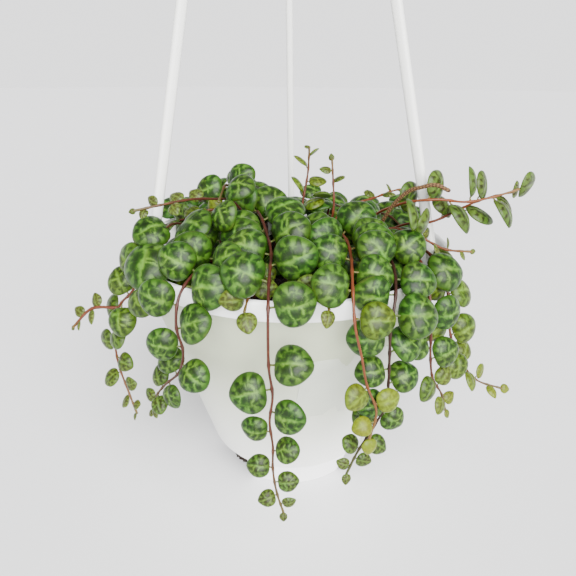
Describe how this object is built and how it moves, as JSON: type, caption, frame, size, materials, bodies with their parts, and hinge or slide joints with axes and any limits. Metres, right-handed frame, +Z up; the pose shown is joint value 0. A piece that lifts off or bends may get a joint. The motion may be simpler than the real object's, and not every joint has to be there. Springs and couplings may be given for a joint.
{
  "type": "potted string of turtles",
  "caption": "Trailing succulent with small round patterned leaves in a white tapered hanging pot with a rigid moulded hanger and hook.",
  "frame": {"origin": "on the floor under the middle of the pot", "axes": "+Z up; the front, where the longest stems hang over the rim, looks along -Y; +X is the plant's right as seen from the front"},
  "size_m": [0.1409, 0.1331, 0.3266],
  "materials": {
    "white_plastic": "satin",
    "soil": "matte, crumbly",
    "leaf": "waxy, softly glossy",
    "flower_spike": "matte"
  },
  "bodies": {
    "root": {"pot": "white_plastic", "hanger_arm_right": "white_plastic", "hanger_arm_back": "white_plastic", "hanger_arm_left": "white_plastic", "hanger_hook": "white_plastic", "soil": "soil", "flower_spike": "flower_spike", "crown_left": "leaf", "stem_front": "leaf", "stem_left_front": "leaf", "stem_left": "leaf", "stem_right_lime": "leaf", "stem_right_front": "leaf", "stem_right": "leaf", "stem_right_far": "leaf", "runner_left": "leaf", "runner_right": "leaf", "runner_right_low": "leaf", "runner_rim": "leaf", "crown_back_left": "leaf", "stem_left_high": "leaf", "shoot_lime_left": "leaf", "shoot_mid": "leaf", "shoot_right": "leaf", "shoot_thin": "leaf", "crown_mid": "leaf", "rim_shoot_left": "leaf", "rim_shoot_right": "leaf", "crown_back": "leaf", "crown_back_right": "leaf", "crown_right": "leaf", "crown_centre": "leaf", "crown_rear_left": "leaf", "crown_rear_right": "leaf", "crown_rear_mid": "leaf", "stem_rear_left": "leaf", "stem_rear_mid_left": "leaf", "stem_rear_mid_right": "leaf", "stem_rear_right": "leaf"}
  },
  "joints": []
}
